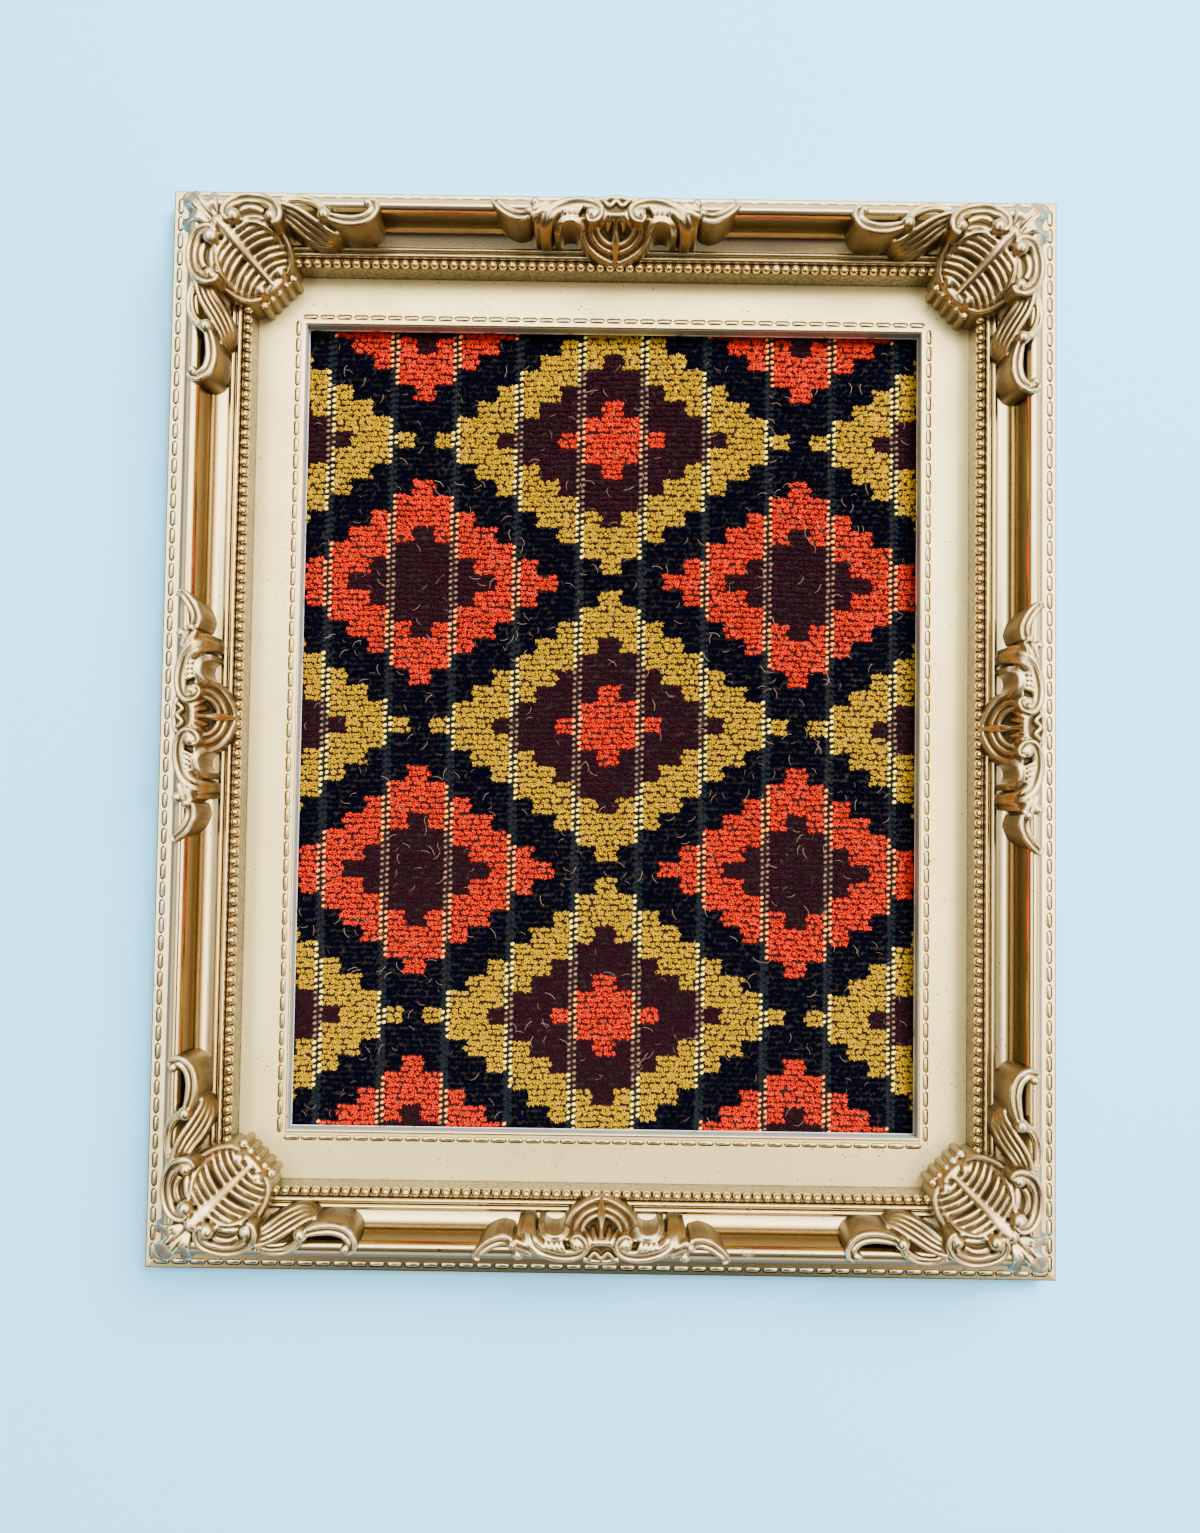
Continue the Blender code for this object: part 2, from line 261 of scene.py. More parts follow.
# Painted shade where the gold shows dark: brown in the cove and down the back, dull gold at the outer edge
cove_shade_brown, back_shade_brown, edge_shade_gold = (0.11, 0.082, 0.050, 1), (0.13, 0.092, 0.045, 1), (0.42, 0.29, 0.13, 1)


def rail_finish():
    """Gold over the whole section, told apart by how many millimetres in from the edge a point is."""
    gold = Finish("antique_gold_rails")
    across = gold.attribute("across")
    up = gold.attribute("up")
    edge = 1 - gold.ease(across, 0.02, 0.25)
    back = gold.band(across, 5.2, 6.0, 13.2, 14.8)
    crest = gold.band(across, 13.6, 15.0, 16.0, 17.0)
    cove = gold.band(across, 16.8, 17.05, 17.5, 18.8)
    step_wall = gold.band(across, 27.55, 27.8, 27.9, 28.1)
    panel = gold.band(across, 27.6, 28.4, 41.6, 42.2)
    lip = gold.ease(across, 42.7, 42.9)
    patches = gold.noise(38, 3.0, 0.6)
    grain = gold.noise(900, 3.0, 0.6)

    colour = gold.mix(panel, champagne, cream)
    colour = gold.mix(gold.ease(patches, 0.35, 0.75) * 0.22, colour, dull_gold)
    # Varnish left in the grooves, and painted shade in the bed under the beads. Each stop is its place over
    # a width of 43 mm, then how dark it is there
    ramp_width = 43
    groove_stops = [(0.0, 0.25), (0.012, 0.0), (0.105, 0.0), (0.116, 0.95), (0.14, 0.5), (0.20, 0.0),
                    (0.5005, 0.0), (0.5095, 1.0), (0.518, 0.0), (0.545, 0.0), (0.5535, 1.0), (0.562, 0.0),
                    (0.589, 0.0), (0.597, 1.0), (0.644, 1.0), (0.652, 0.0)]
    place = across * (1 / ramp_width)
    grooves = gold.grey(gold.node('ShaderNodeValToRGB', {"stops": groove_stops}, {0: place}))
    colour = gold.mix(grooves * (0.8 + 0.2 * gold.ease(grain, 0.3, 0.7)), colour, varnish_and_shade_brown)
    specks = gold.ease(gold.noise(1300, 0.0), 0.76, 0.79) * gold.ease(gold.noise(120, 1.0), 0.45, 0.6)
    colour = gold.mix(specks * 0.8, colour, varnish_and_shade_brown)
    # Painted shade on the cove wall, down the back and on the outer edge
    colour = gold.mix(cove * 0.9, colour, cove_shade_brown)
    colour = gold.mix(back * 0.95, colour, back_shade_brown)
    colour = gold.mix(edge * 0.9, colour, edge_shade_gold)
    # Painted shade and sky reflection on the lip's inner wall
    colour = gold.mix(lip, colour, gold.mix(grain, liner_shade_dark, liner_reflection_pale))
    grit = 0.7 + 0.3 * gold.ease(grain, 0.4, 0.6)
    # Painted shade on the step wall down to the panel, with real grit in it
    colour = gold.mix(step_wall * grit, colour, step_shade_grey)
    lip_wear = lip * gold.ease(0.0 - up, 0.9, 1.3) * gold.ease(gold.noise(170, 4.0, 0.7), 0.36, 0.46)
    crest_wear = gold.ease(gold.noise(60, 5.0, 0.7), 0.60, 0.70) * crest * 0.5
    worn = lip_wear.larger(crest_wear)
    colour = gold.mix(worn, colour, rubbed_silver)

    metal = (1 - 0.25 * panel - 0.4 * worn) * (1 - lip * 0.8) * (1 - back * 0.9) * (1 - edge * 0.8)
    dullness = 0.10 * patches + 0.2 * grooves + 0.22 * panel + 0.4 * lip + 0.7 * back
    ripple = gold.noise(55, 2.0) * 0.6 + gold.noise(420, 2.0) * 0.12 + grain * (0.02 + step_wall * 0.2)
    return gold.surface(Base_Color=colour, Metallic=metal, Roughness=0.15 + dullness,
                        Normal=gold.bump(ripple, 0.00016, 0.6))


rails = show("moulded_rails", rail_mesh(), rail_finish())
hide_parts("frame_moulding")
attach(rails, "root")


# Corner castings
# A rococo casting at each corner: a lobed leaf at the outer corner, a stem along the mitre, a ribbed shell
# between grooved bands, and on each rail a C-scroll, a fan leaf and a curled tail. Each is moulded in one
# piece and glued over the rails. Points are millimetres: along one rail, in from its edge, up from the rim.

rail_line = [point for run in rail_runs[1:-3] for point in run]
casting_bite = 0.8


def rail_height(across):
    """How high the rail's face stands, in millimetres above the rim."""
    return float(np.interp(across, [point[0] for point in rail_line], [point[1] for point in rail_line]))


def corner_foot(spot):
    """Where a casting's side ends, a little way into the rail."""
    return rail_height(min(spot.x, spot.y)) - casting_bite


def bar(shape, points, radii, foot, groove=0.0, flat=1.0, steps=5):
    """A round-topped bar with upright sides. Its radius runs through the radii. A groove can run down it."""
    path = smooth_path(points, steps)
    loops = []
    for index, point in enumerate(path):
        share = index / (len(path) - 1)
        radius = float(np.interp(share, np.linspace(0, 1, len(radii)), radii))
        before, after = path[max(index - 1, 0)], path[min(index + 1, len(path) - 1)]
        along = Vector((after.x - before.x, after.y - before.y, 0)).normalized()
        side = Vector((-along.y, along.x, 0))
        ring = []
        for step in range(13):
            out = math.cos(math.pi * step / 12)
            drop = radius * flat * (math.sin(math.pi * step / 12) - 1) - groove * math.exp(-(out / 0.3) ** 2)
            ring.append(point + side * radius * out + Vector((0, 0, drop)))
        for edge in (ring[-1], ring[0]):
            ring.append(Vector((edge.x, edge.y, min(foot(edge), edge.z - 0.2))))
        loops.append([shape.verts.new(spot * MM) for spot in ring])
    skin(shape, loops)
    shape.faces.new(list(reversed(loops[0])))
    shape.faces.new(loops[-1])


def knob(shape, centre, radius, foot):
    """A ball on an upright post."""
    spot = Vector(centre)
    bmesh.ops.create_uvsphere(shape, u_segments=20, v_segments=12, radius=radius * MM,
                              matrix=Matrix.Translation(spot * MM))
    bottom = foot(spot)
    middle = Vector((spot.x, spot.y, (spot.z + bottom) / 2))
    post_radius = radius * 0.97 * MM
    bmesh.ops.create_cone(shape, cap_ends=True, segments=20, radius1=post_radius, radius2=post_radius,
                          depth=(spot.z - bottom) * MM, matrix=Matrix.Translation(middle * MM))


def plate(shape, outline, foot):
    """Ground between the raised parts: a solid under an outline, fanned from its middle."""
    middle = sum((Vector(point) for point in outline), Vector()) / len(outline)
    rim_verts = [shape.verts.new(Vector(point) * MM) for point in outline]
    base = [shape.verts.new(Vector((point[0], point[1], foot(Vector(point)))) * MM) for point in outline]
    peak = shape.verts.new(middle * MM)
    pit = shape.verts.new(Vector((middle.x, middle.y, foot(middle))) * MM)
    for index in range(len(outline)):
        ahead = (index + 1) % len(outline)
        shape.faces.new((rim_verts[index], rim_verts[ahead], peak))
        shape.faces.new((rim_verts[ahead], rim_verts[index], base[index], base[ahead]))
        shape.faces.new((base[ahead], base[index], pit))


def along_curve(points, share):
    path = smooth_path(points, 12)
    return path[round(share * (len(path) - 1))]


def swapped(points):
    """The mirror image across the corner's diagonal."""
    return [(point[1], point[0], point[2]) for point in points]


def unchanged(points):
    return points


stem = [(21.6, 21.6, 25.0), (26.0, 26.0, 22.6), (30.5, 30.5, 17.4), (35.2, 35.2, 12.4)]
shell_edge = [(29.0, 20.8, 23.6), (33.4, 20.6, 23.2), (37.4, 22.0, 20.8), (39.4, 25.2, 17.0),
              (39.6, 28.4, 14.0), (38.4, 31.2, 12.2)]
c_scroll = [(25.4, 21.2, 25.2), (23.9, 19.2, 25.2), (24.8, 16.4, 24.6), (27.5, 14.7, 23.8),
            (31.0, 14.1, 23.6), (34.6, 14.7, 24.0), (37.5, 16.4, 24.8), (39.0, 18.8, 25.2),
            (38.8, 21.0, 25.2), (37.4, 22.0, 25.0)]
tail = [(54.0, 19.8, 24.4), (57.8, 20.7, 24.4), (61.4, 20.9, 24.4), (64.8, 20.0, 24.4),
        (66.8, 18.0, 24.4), (67.2, 15.9, 24.0), (66.2, 14.4, 23.4), (64.9, 14.9, 23.2)]


def corner_shape():
    shape = bmesh.new()
    foot = corner_foot
    bar(shape, stem, [2.2, 2.1, 1.6, 1.2, 0.8], foot, flat=0.8)
    knob(shape, (21.8, 21.8, 22.9), 2.25, foot)
    long_lobe = [(20.6, 20.6, 23.0), (17.6, 17.6, 24.4), (14.8, 14.8, 24.2), (11.8, 11.8, 19.8),
                 (9.4, 9.4, 14.2)]
    bar(shape, long_lobe, [1.5, 2.1, 2.6, 2.9, 2.5], foot, 0.8, 0.7)
    knob(shape, (9.2, 9.2, 11.4), 2.3, foot)
    bar(shape, [(30.8, 38.4, 11.8), (35.0, 35.0, 12.6), (38.4, 30.8, 11.8)], [1.5, 1.8, 1.5], foot)
    for flute in range(5):
        aside = (flute - 2) * 2.1
        knob(shape, (36.2 - aside, 36.2 + aside, 9.6 - abs(aside) * 0.1), 1.35, foot)
    for turn in (unchanged, swapped):
        lobe = turn([(21.0, 19.0, 23.0), (19.8, 15.6, 24.2), (18.4, 12.0, 20.0), (16.9, 9.2, 14.4)])
        bar(shape, lobe, [1.1, 1.6, 2.1, 1.9], foot, 0.3, 0.75)
        knob(shape, turn([(16.8, 8.8, 11.6)])[0], 1.9, foot)
        floor = [(21.0, 21.0, 22.9), (28.0, 20.4, 22.2), (33.4, 21.0, 21.4), (37.4, 23.4, 18.6),
                 (39.2, 28.0, 13.2), (37.8, 32.2, 10.8), (35.4, 35.4, 10.4)]
        plate(shape, turn(floor), foot)
        for rib in range(11):
            share = rib / 10
            crest = along_curve(stem, 0.06 + 0.90 * share)
            end = along_curve(shell_edge, 0.03 + 0.92 * share)
            middle = (crest + end) / 2 + Vector((0.2, -0.9 + 0.5 * share, 0.7))
            route = [(crest.x, crest.y, crest.z - 0.9), (middle.x, middle.y, middle.z - 0.7),
                     (end.x, end.y, end.z - 0.7)]
            bar(shape, turn(route), [0.5, 0.68, 0.62], foot)
        bar(shape, turn(shell_edge), [1.1, 1.7, 1.9, 1.8, 1.3], foot, 0.9, 0.8)
        knob(shape, turn([(36.9, 31.4, 11.8)])[0], 1.75, foot)
        bar(shape, turn(c_scroll), [1.1, 1.6, 1.9, 1.9, 1.9, 1.7, 1.1], foot, 0.9, 0.7)
        floor = [(25.4, 17.0, 21.6), (30.0, 14.8, 21.4), (37.4, 16.6, 21.8), (38.0, 21.4, 22.2),
                 (26.8, 21.6, 22.2)]
        plate(shape, turn(floor), foot)
        bar(shape, turn([(27.4, 18.8, 22.8), (29.0, 17.2, 23.0), (32.0, 16.8, 23.0), (34.9, 18.2, 23.2)]),
            [0.7, 1.0, 1.0, 0.6], foot, flat=0.8)
        knob(shape, turn([(26.2, 20.0, 23.2)])[0], 2.4, foot)
        knob(shape, turn([(37.2, 20.0, 23.8)])[0], 1.7, foot)
        floor = [(39.4, 15.6, 22.2), (44.4, 14.6, 21.8), (50.2, 16.4, 21.6), (53.2, 19.4, 21.8),
                 (55.8, 22.8, 18.2), (53.0, 23.8, 14.4), (46.4, 22.4, 15.2), (40.4, 20.0, 20.2)]
        plate(shape, turn(floor), foot)
        upper_rib = [(40.0, 15.9, 24.2), (44.8, 17.5, 24.0), (49.6, 20.2, 22.8), (53.7, 22.2, 20.6),
                     (56.2, 22.4, 19.0)]
        lower_rib = [(39.8, 19.0, 22.6), (42.9, 20.9, 20.2), (46.4, 22.7, 16.8), (50.4, 24.0, 15.2),
                     (53.4, 23.8, 15.4)]
        for rib in range(4):
            route = [tuple(Vector(high_point).lerp(Vector(low_point), rib / 3))
                     for high_point, low_point in zip(upper_rib, lower_rib)]
            bar(shape, turn(route), [0.5, 0.68, 0.74, 0.74, 0.6], foot)
        rim_leaf = [(39.8, 15.2, 24.0), (43.9, 14.2, 23.8), (47.5, 14.4, 23.8), (50.5, 15.8, 24.4),
                    (52.2, 17.6, 24.8)]
        bar(shape, turn(rim_leaf), [0.9, 1.4, 1.5, 1.1], foot, 0.5)
        knob(shape, turn([(52.6, 19.2, 23.4)])[0], 2.0, foot)
        bar(shape, turn(tail), [1.2, 1.9, 2.0, 1.9, 1.6, 1.2, 0.9], foot, 0.9, 0.8)
        knob(shape, turn([(65.2, 15.2, 22.6)])[0], 1.45, foot)
    return shape


def cast(name, shape, grain, triangles):
    """Melts the raised parts into one casting, softens it, thins its mesh and marks its relief."""
    bmesh.ops.recalc_face_normals(shape, faces=shape.faces[:])
    rough = bpy.data.objects.new(name, to_mesh(name, shape, smooth=False))
    bpy.context.scene.collection.objects.link(rough)
    melt = rough.modifiers.new("Melt", 'REMESH')
    melt.mode = 'VOXEL'
    melt.voxel_size = grain
    soften = rough.modifiers.new("Soften", 'SMOOTH')
    soften.factor = 0.5
    soften.iterations = 2
    melted = evaluated_mesh(rough)
    rough.modifiers.clear()
    rough.data = melted
    thin = rough.modifiers.new("Thin", 'DECIMATE')
    thin.ratio = min(triangles / (2 * len(melted.polygons)), 1.0)
    thinned = evaluated_mesh(rough)
    bpy.data.objects.remove(rough)
    mark_relief(thinned)
    thinned.shade_smooth()
    return thinned


def evaluated_mesh(item):
    bpy.context.view_layer.update()
    return bpy.data.meshes.new_from_object(item.evaluated_get(bpy.context.evaluated_depsgraph_get()))


def mark_relief(mesh):
    """Stores ridge, above zero on raised edges and below it in hollows."""
    count = len(mesh.vertices)
    spots = np.zeros(count * 3, np.float32)
    mesh.vertices.foreach_get("co", spots)
    spots = spots.reshape(-1, 3)
    normals = np.zeros(count * 3, np.float32)
    mesh.vertex_normals.foreach_get("vector", normals)
    normals = normals.reshape(-1, 3)
    ends = np.zeros(len(mesh.edges) * 2, np.int64)
    mesh.edges.foreach_get("vertices", ends)
    first, second = ends[0::2], ends[1::2]
    degree = np.bincount(ends, minlength=count).clip(1)

    def neighbour_mean(values):
        total = np.bincount(first, values[second], count) + np.bincount(second, values[first], count)
        return total / degree

    mean_spots, mean_normals = spots.astype(float), normals.astype(float)
    for _ in range(14):
        mean_spots = np.stack([neighbour_mean(mean_spots[:, axis]) for axis in range(3)], 1)
        mean_normals = np.stack([neighbour_mean(mean_normals[:, axis]) for axis in range(3)], 1)
    relief_unit = 0.14 * MM
    ridge = ((spots - mean_spots) * mean_normals).sum(1) / relief_unit
    mesh.attributes.new("ridge", 'FLOAT', 'POINT').data.foreach_set("value", ridge.astype(np.float32))


casting_side_shade = (0.13, 0.100, 0.055, 1)


def casting_finish():
    gold = Finish("antique_gold_castings")
    ridge = gold.attribute("ridge")
    facing = gold.node('ShaderNodeTexCoord', out="Normal")
    steep = 1 - gold.node('ShaderNodeSeparateXYZ', None, {0: facing}, out=2)
    # How far a face looks away from the frame's middle. Seven per metre brings its half size to about one
    from_middle = gold.node('ShaderNodeVectorMath', {"operation": 'MULTIPLY'},
                            {0: gold.where(), 1: (7.0, 7.0, 0.0)})
    away = gold.node('ShaderNodeVectorMath', {"operation": 'DOT_PRODUCT'}, {0: facing, 1: from_middle},
                     out="Value")
    outward = gold.ease(away, 0.22, 0.5)
    wall = gold.ease(steep, 0.3, 0.8).larger(outward)
    hollow_shade = gold.ease(0.3 - ridge, 0.0, 1.2) * (1 - gold.ease(steep, 0.3, 0.7))
    rubbed = gold.ease(ridge, 1.6, 4.5) * gold.ease(gold.noise(95, 4.0, 0.65), 0.48, 0.66)
    patches = gold.noise(70, 3.0, 0.6)
    grain = gold.noise(1500, 2.0, 0.6)

    colour = gold.mix(gold.ease(patches, 0.35, 0.7) * 0.3, champagne, dull_gold)
    # Painted shade in the hollows between the raised parts
    colour = gold.mix(hollow_shade * 0.95, colour, varnish_and_shade_brown)
    colour = gold.mix(rubbed * 0.7, colour, rubbed_silver)
    # Painted shade on the steep sides and on faces turned away from the frame's middle
    colour = gold.mix(wall * 0.94, colour, casting_side_shade)
    dullness = 0.10 * patches + 0.2 * hollow_shade + 0.2 * wall + 0.4 * outward
    height = grain * (0.05 + 0.25 * wall) + gold.noise(260, 2.0) * 0.3
    return gold.surface(Base_Color=colour, Metallic=(1 - 0.4 * rubbed) * (1 - 0.9 * outward),
                        Roughness=0.21 + dullness, Normal=gold.bump(height, 0.00012, 0.6))


ornament_gold = casting_finish()


def fix_round_frame(name, node, mesh, spots):
    """One copy of the casting for each spot, turned a quarter at a time."""
    for number, (x, y) in enumerate(spots):
        turn = Matrix.Translation((x, y, rim)) @ Matrix.Rotation(number * math.pi / 2, 4, 'Z')
        copy = mesh.copy()
        copy.transform(turn)
        piece = show(f"{name}_{number + 1}", copy, ornament_gold)
        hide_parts(f"{node}_{number + 1}")
        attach(piece, "root")


corner_spots = ((-half_width, -half_height), (half_width, -half_height),
                (half_width, half_height), (-half_width, half_height))
corner_grain, middle_grain = ((0.27 * MM, 0.25 * MM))
corner_casting = cast("corner", corner_shape(), corner_grain, triangles=46000)
fix_round_frame("corner_casting", "corner_ornament", corner_casting, corner_spots)


# Centre castings
# The casting at the middle of each rail: two C-scrolls that roll in beside a cup, a fluted shell between
# nested leaf bands below it, and a knob and a curled tail at each end. Made and fixed like the corner ones.
# Points are millimetres: along the rail from its middle, in from its edge, up from the rim.

middle_scroll = [(-8.2, 18.4, 25.0), (-7.2, 19.9, 25.0), (-5.3, 18.8, 25.2), (-5.0, 16.6, 25.2),
                 (-7.2, 14.9, 24.6), (-11.0, 14.4, 24.2), (-14.8, 15.1, 24.2), (-18.0, 16.6, 24.6),
                 (-20.0, 19.0, 24.2), (-20.6, 21.4, 21.4), (-20.5, 23.0, 17.0)]
middle_tail = [(-25.2, 18.2, 24.2), (-28.2, 18.6, 24.2), (-31.2, 17.6, 24.4), (-34.2, 15.5, 24.4),
               (-35.4, 13.8, 23.8), (-34.2, 13.2, 23.6)]


def middle_foot(spot):
    return rail_height(spot.y) - casting_bite


def flipped(points):
    """The mirror image across the rail's middle."""
    return [(-point[0], point[1], point[2]) for point in points]


def middle_shape():
    shape = bmesh.new()
    foot = middle_foot
    cup = [(-5.0, 13.4, 22.8), (5.0, 13.4, 22.8), (3.8, 18.4, 23.2), (0.0, 18.8, 23.0), (-3.8, 18.4, 23.2)]
    plate(shape, cup, foot)
    cup_rim = [(-4.4, 16.4, 24.2), (-2.2, 18.2, 24.4), (2.2, 18.2, 24.4), (4.4, 16.4, 24.2)]
    bar(shape, cup_rim, [0.8, 1.0, 0.8], foot)
    zigzag = [(-3.6, 13.9, 24.2), (-1.8, 15.6, 24.4), (0.0, 13.9, 24.2), (1.8, 15.6, 24.4),
              (3.6, 13.9, 24.2)]
    bar(shape, zigzag, [0.6, 0.65, 0.6], foot, steps=3)
    bar(shape, [(-5.0, 13.4, 23.6), (0.0, 12.7, 23.6), (5.0, 13.4, 23.6)], [0.7, 0.8, 0.7], foot)
    floor = [(-9.0, 18.4, 22.4), (0.0, 18.0, 22.4), (9.0, 18.4, 22.4), (9.6, 21.2, 18.8),
             (8.2, 23.8, 14.6), (4.4, 25.8, 12.2), (0.0, 27.0, 11.0), (-4.4, 25.8, 12.2),
             (-8.2, 23.8, 14.6), (-9.6, 21.2, 18.8)]
    plate(shape, floor, foot)
    for lean in (-1.0, -0.5, 0.0, 0.5, 1.0):
        route = [(lean * 2.6, 18.4, 24.6), (lean * 3.9, 20.0, 23.2),
                 (lean * 5.0, 22.3 - abs(lean) * 1.8, 20.4)]
        bar(shape, route, [0.5, 0.66, 0.55], foot)
    bar(shape, [(0.0, 21.8, 21.2), (0.0, 24.4, 18.6), (0.0, 26.9, 13.8)], [0.5, 1.1, 0.9, 0.5], foot)
    for turn in (unchanged, flipped):
        outer = [(-9.4, 18.6, 23.6), (-9.5, 21.2, 20.6), (-7.4, 23.8, 16.8), (-4.1, 25.7, 14.6),
                 (0.0, 26.9, 12.8)]
        bar(shape, turn(outer), [0.9, 1.3, 1.4, 1.1, 0.7], foot, 0.4)
        between = [(-7.4, 20.2, 22.4), (-6.8, 22.2, 20.0), (-4.6, 24.0, 17.6), (-1.2, 25.2, 16.0)]
        bar(shape, turn(between), [0.7, 0.95, 0.95, 0.7], foot)
        inner = [(-5.6, 20.6, 22.2), (-4.8, 22.2, 20.6), (-3.1, 23.4, 19.0), (-1.0, 24.0, 18.0)]
        bar(shape, turn(inner), [0.5, 0.75, 0.75, 0.5], foot)
        bar(shape, turn(middle_scroll), [0.8, 1.1, 1.4, 1.6, 1.9, 2.1, 2.2, 2.2, 1.9, 1.2], foot, 0.8, 0.7)
        knob(shape, turn([(-7.2, 17.9, 23.8)])[0], 1.6, foot)
        floor = [(-7.4, 15.4, 21.8), (-16.6, 15.0, 21.8), (-19.4, 19.8, 21.0), (-9.4, 20.0, 21.8)]
        plate(shape, turn(floor), foot)
        for rib in range(5):
            start = -10.2 - 1.45 * rib
            route = [(start, 15.8 + 0.1 * rib, 24.0), (start - 0.8, 17.2, 24.0), (start - 1.3, 18.6, 23.2)]
            bar(shape, turn(route), [0.5, 0.72, 0.45], foot)
        arch = [(-17.2, 22.2, 19.8), (-16.4, 20.0, 22.8), (-13.6, 19.0, 23.8), (-10.8, 19.7, 23.4),
                (-9.4, 21.6, 21.2)]
        bar(shape, turn(arch), [0.9, 1.2, 1.3, 1.2, 0.9], foot, 0.4)
        knob(shape, turn([(-23.6, 14.4, 23.0)])[0], 1.5, foot)
        knob(shape, turn([(-25.2, 17.4, 23.6)])[0], 1.4, foot)
        neck = [(-19.4, 15.6, 24.4), (-22.2, 16.6, 24.6), (-25.0, 18.2, 24.4)]
        bar(shape, turn(neck), [2.1, 2.1, 1.4], foot, 0.5, 0.8)
        spur = [(-21.4, 18.0, 24.0), (-22.9, 20.2, 21.4), (-23.0, 21.8, 17.0)]
        bar(shape, turn(spur), [1.3, 1.2, 0.7], foot)
        bar(shape, turn(middle_tail), [1.4, 1.8, 1.8, 1.5, 1.1, 0.8], foot, 0.85, 0.8)
    return shape


middle_spots = ((0, -half_height), (half_width, 0), (0, half_height), (-half_width, 0))
middle_casting = cast("centre", middle_shape(), middle_grain, triangles=30000)
fix_round_frame("centre_casting", "centre_ornament", middle_casting, middle_spots)


# Bead rows and pill chains
# A row of small pearls stands on the step above the cream panel. A chain of raised pills runs round the flat
# outer ledge, and a finer one round the sight opening. They are moulded with the rails, in the same gold,
# with dark varnish left round each pill and painted shade on each bead's underside.


def spread_tree(name):
    """Sets one small shape on every point of a mesh, turned and sized by the points, and joins it all."""
    tree = bpy.data.node_groups.new(name, 'GeometryNodeTree')
    for label, kind in (("Points", 'Geometry'), ("Shape", 'Object'), ("Size spread", 'Float'),
                        ("Tilt spread", 'Float'), ("Spin", 'Float'), ("Seed", 'Int'),
                        ("Finish", 'Material')):
        tree.interface.new_socket(label, in_out='INPUT', socket_type="NodeSocket" + kind)
    tree.interface.new_socket("Geometry", in_out='OUTPUT', socket_type='NodeSocketGeometry')
    maker = NodeMaker(tree)
    entry = {socket.name: Value(maker, socket) for socket in tree.nodes.new('NodeGroupInput').outputs}
    shape = maker.node('GeometryNodeObjectInfo', None, {"Object": entry["Shape"]}, out="Geometry")
    turn = maker.node('GeometryNodeInputNamedAttribute', {"data_type": 'FLOAT_VECTOR'}, {"Name": "turn"})
    tilt = entry["Tilt spread"]
    low_tilt = maker.node('ShaderNodeCombineXYZ', None, {0: tilt * -1.0, 1: tilt * -1.0, 2: 0.0})
    high_tilt = maker.node('ShaderNodeCombineXYZ', None, {0: tilt, 1: tilt, 2: entry["Spin"]})
    jitter = maker.node('FunctionNodeRandomValue', {"data_type": 'FLOAT_VECTOR'},
                        {0: low_tilt, 1: high_tilt, "Seed": entry["Seed"]})
    swing = maker.node('ShaderNodeVectorMath', {"operation": 'ADD'}, {0: turn, 1: jitter})
    size = maker.node('FunctionNodeRandomValue', {"data_type": 'FLOAT'},
                      {2: 1.0 - entry["Size spread"], 3: 1.0 + entry["Size spread"],
                       "Seed": entry["Seed"]}, out=1)
    rotation = maker.node('FunctionNodeEulerToRotation', None, {0: swing})
    placed = maker.node('GeometryNodeInstanceOnPoints', None,
                        {"Points": entry["Points"], "Instance": shape, "Rotation": rotation, "Scale": size})
    joined = maker.node('GeometryNodeRealizeInstances', None, {0: placed})
    finished = maker.node('GeometryNodeSetMaterial', None,
                          {"Geometry": joined, "Material": entry["Finish"]})
    maker.feed(tree.nodes.new('NodeGroupOutput').inputs[0], finished)
    return tree


spread_nodes = spread_tree("spread_on_points")


def spread(name, points, turns, shape, finish, seed, size_spread, tilt_spread=0.0, spin=0.0, marks=None):
    """A piece made of one small shape set on every point. Marks are further numbers that points carry."""
    mesh = bpy.data.meshes.new(name + "_points")
    mesh.from_pydata([tuple(point) for point in points], [], [])
    layer = mesh.attributes.new("turn", 'FLOAT_VECTOR', 'POINT')
    layer.data.foreach_set("vector", np.array(turns, np.float32).ravel())
    for mark, values in (marks or {}).items():
        mesh.attributes.new(mark, 'FLOAT', 'POINT').data.foreach_set("value", np.array(values, np.float32))
    holder = bpy.data.objects.new(name + "_points", mesh)
    bpy.context.scene.collection.objects.link(holder)
    pattern = bpy.data.objects.new(name + "_shape", shape)
    bpy.context.scene.collection.objects.link(pattern)
    spreader = holder.modifiers.new("Spread", 'NODES')
    spreader.node_group = spread_nodes
    inputs = {item.name: item.identifier for item in spread_nodes.interface.items_tree
              if item.in_out == 'INPUT'}
    for key, value in (("Shape", pattern), ("Size spread", size_spread), ("Tilt spread", tilt_spread),
                       ("Spin", spin), ("Seed", seed), ("Finish", finish)):
        spreader[inputs[key]] = value
    made = evaluated_mesh(holder)
    bpy.data.objects.remove(holder)
    bpy.data.objects.remove(pattern)
    piece = show(name, made, finish)
    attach(piece, "root")
    return piece


